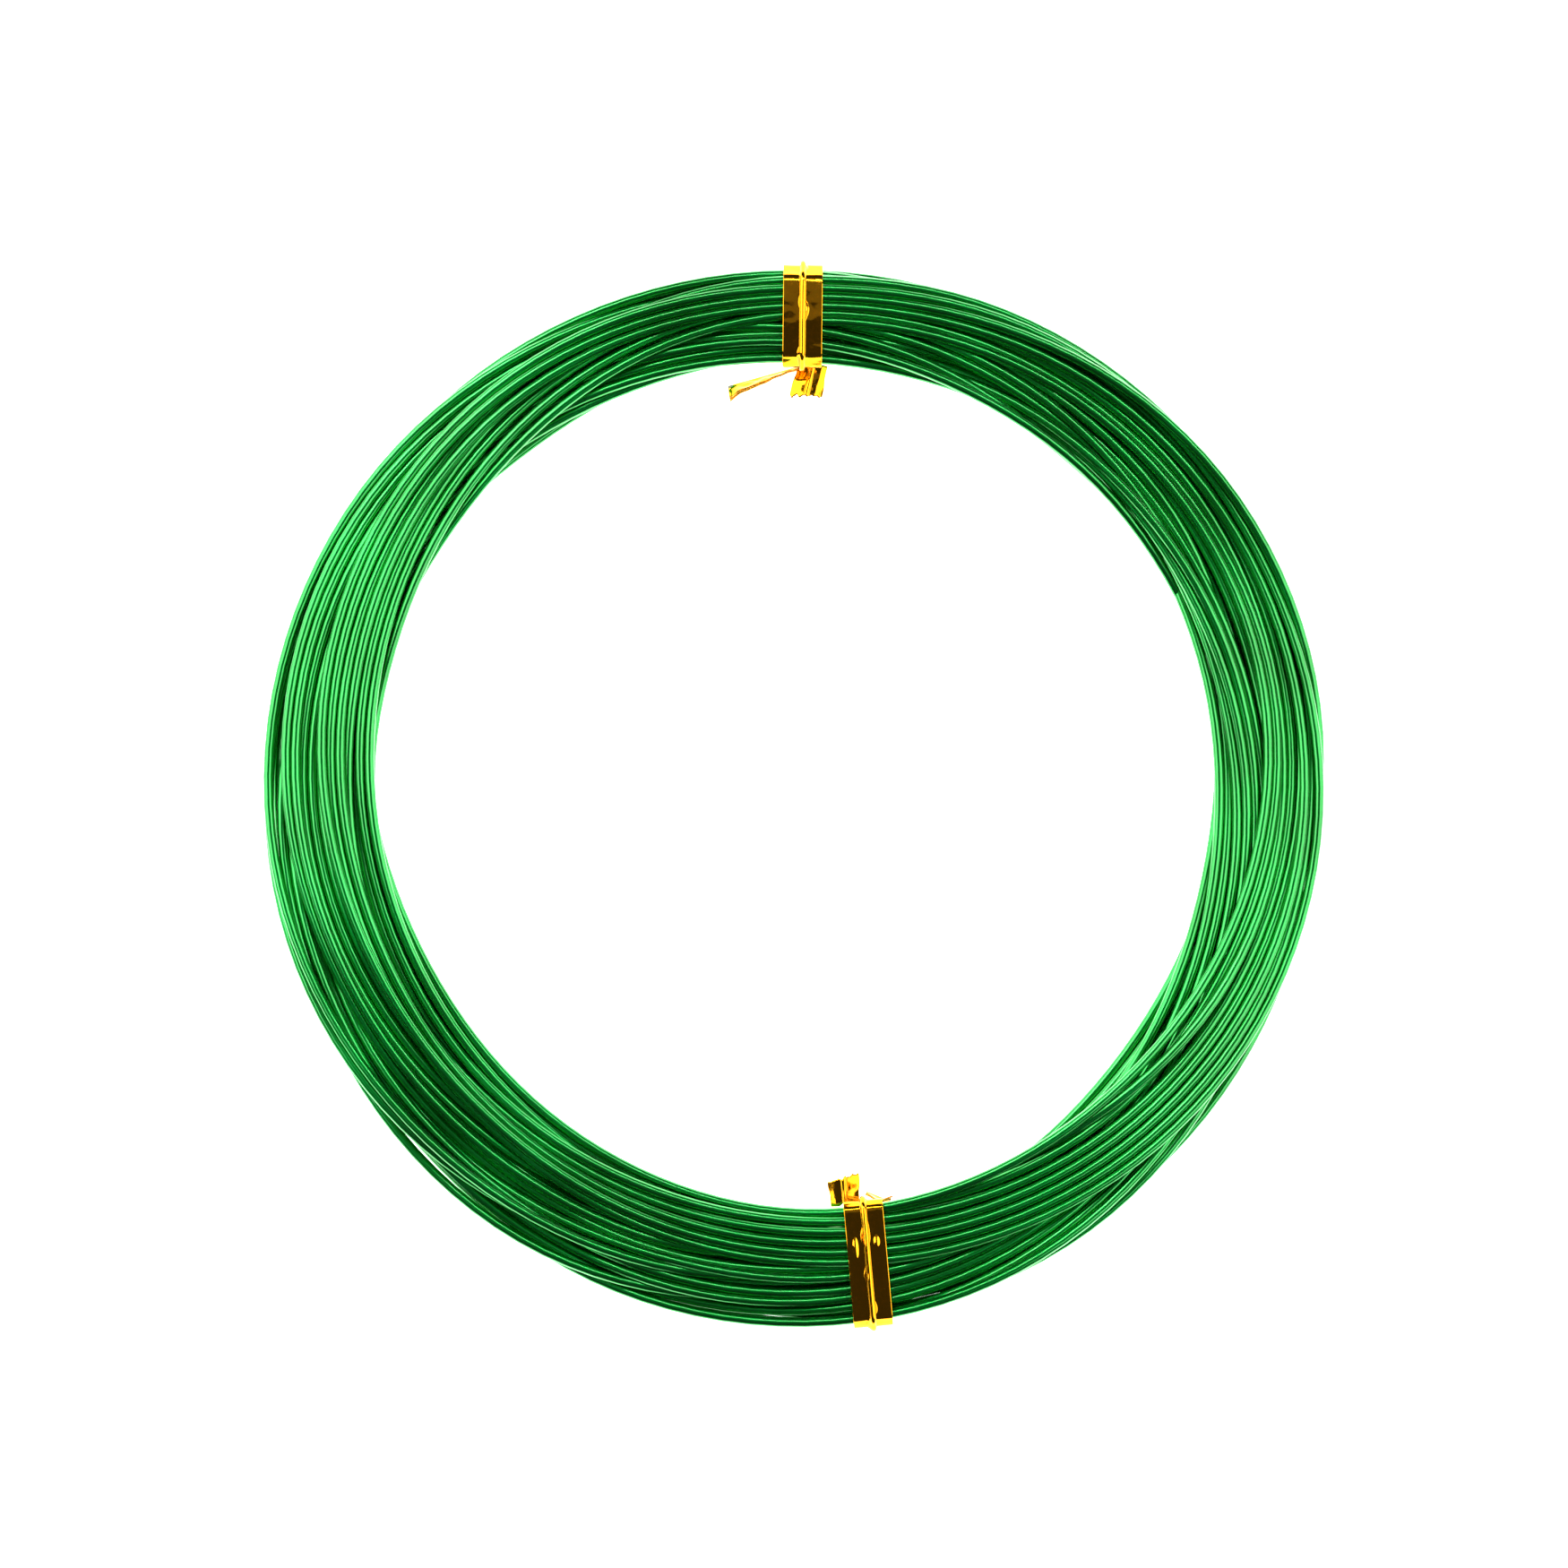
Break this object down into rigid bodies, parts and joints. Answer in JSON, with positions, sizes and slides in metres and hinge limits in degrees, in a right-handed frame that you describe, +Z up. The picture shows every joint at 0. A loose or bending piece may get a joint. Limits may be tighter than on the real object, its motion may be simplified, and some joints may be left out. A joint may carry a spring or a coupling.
{
  "type": "coil of craft wire",
  "caption": "Flat round coil of thin coloured aluminium wire, bound by foil twist ties whose tails bend and which slide along the bundle.",
  "frame": {"origin": "middle of the coil on the surface that it lies on", "axes": "+Z up through the eye of the coil; +Y from the front tie towards the back tie; +X to the right seen from above"},
  "size_m": [0.1094, 0.1097, 0.0052],
  "materials": {
    "green_wire": "green anodised, satin metallic",
    "gold_film_face": "metallised film, mirror gold",
    "gold_film_back": "metallised film, gold",
    "tie_core_steel": "soft annealed steel wire"
  },
  "bodies": {
    "coil": {"wire_coil": "green_wire"},
    "back_tie": {"back_tie_inner_film": "gold_film_back", "back_tie_core_wire": "tie_core_steel", "back_tie_outer_film": "gold_film_face", "back_tie_twist": "gold_film_face"},
    "back_tie_folded_tail": {"back_tie_folded_tail_inner_film": "gold_film_back", "back_tie_folded_tail_core_wire": "tie_core_steel", "back_tie_folded_tail_outer_film": "gold_film_face"},
    "back_tie_flared_tail": {"back_tie_flared_tail_inner_film": "gold_film_back", "back_tie_flared_tail_core_wire": "tie_core_steel", "back_tie_flared_tail_outer_film": "gold_film_face"},
    "front_tie": {"front_tie_inner_film": "gold_film_back", "front_tie_core_wire": "tie_core_steel", "front_tie_outer_film": "gold_film_face", "front_tie_twist": "gold_film_face"},
    "front_tie_folded_tail": {"front_tie_folded_tail_inner_film": "gold_film_back", "front_tie_folded_tail_core_wire": "tie_core_steel", "front_tie_folded_tail_outer_film": "gold_film_face"},
    "front_tie_flared_tail": {"front_tie_flared_tail_inner_film": "gold_film_back", "front_tie_flared_tail_core_wire": "tie_core_steel", "front_tie_flared_tail_outer_film": "gold_film_face"}
  },
  "joints": [
    {"name": "back_tie_slide_round", "type": "hinge", "parent": "coil", "child": "back_tie", "pos_m": [0, 0, 0], "axis": [0, 0, 1], "range_deg": [-5, 5]},
    {"name": "back_tie_folded_tail_bend", "type": "hinge", "parent": "back_tie", "child": "back_tie_folded_tail", "pos_m": [-0.00042, 0.04378, 0.00056], "axis": [0, 0, 1], "range_deg": [-8, 25]},
    {"name": "back_tie_flared_tail_bend", "type": "hinge", "parent": "back_tie", "child": "back_tie_flared_tail", "pos_m": [0.00091, 0.0435, 0.00116], "axis": [-0.9803, -0.1977, 0], "range_deg": [-6, 45]},
    {"name": "front_tie_slide_round", "type": "hinge", "parent": "coil", "child": "front_tie", "pos_m": [0, 0, 0], "axis": [0, 0, 1], "range_deg": [-5, 5]},
    {"name": "front_tie_folded_tail_bend", "type": "hinge", "parent": "front_tie", "child": "front_tie_folded_tail", "pos_m": [0.00749, -0.041, 0.00056], "axis": [0, 0, 1], "range_deg": [-8, 25]},
    {"name": "front_tie_flared_tail_bend", "type": "hinge", "parent": "front_tie", "child": "front_tie_flared_tail", "pos_m": [0.00615, -0.04085, 0.00116], "axis": [0.8181, 0.575, 0], "range_deg": [-6, 45]}
  ]
}
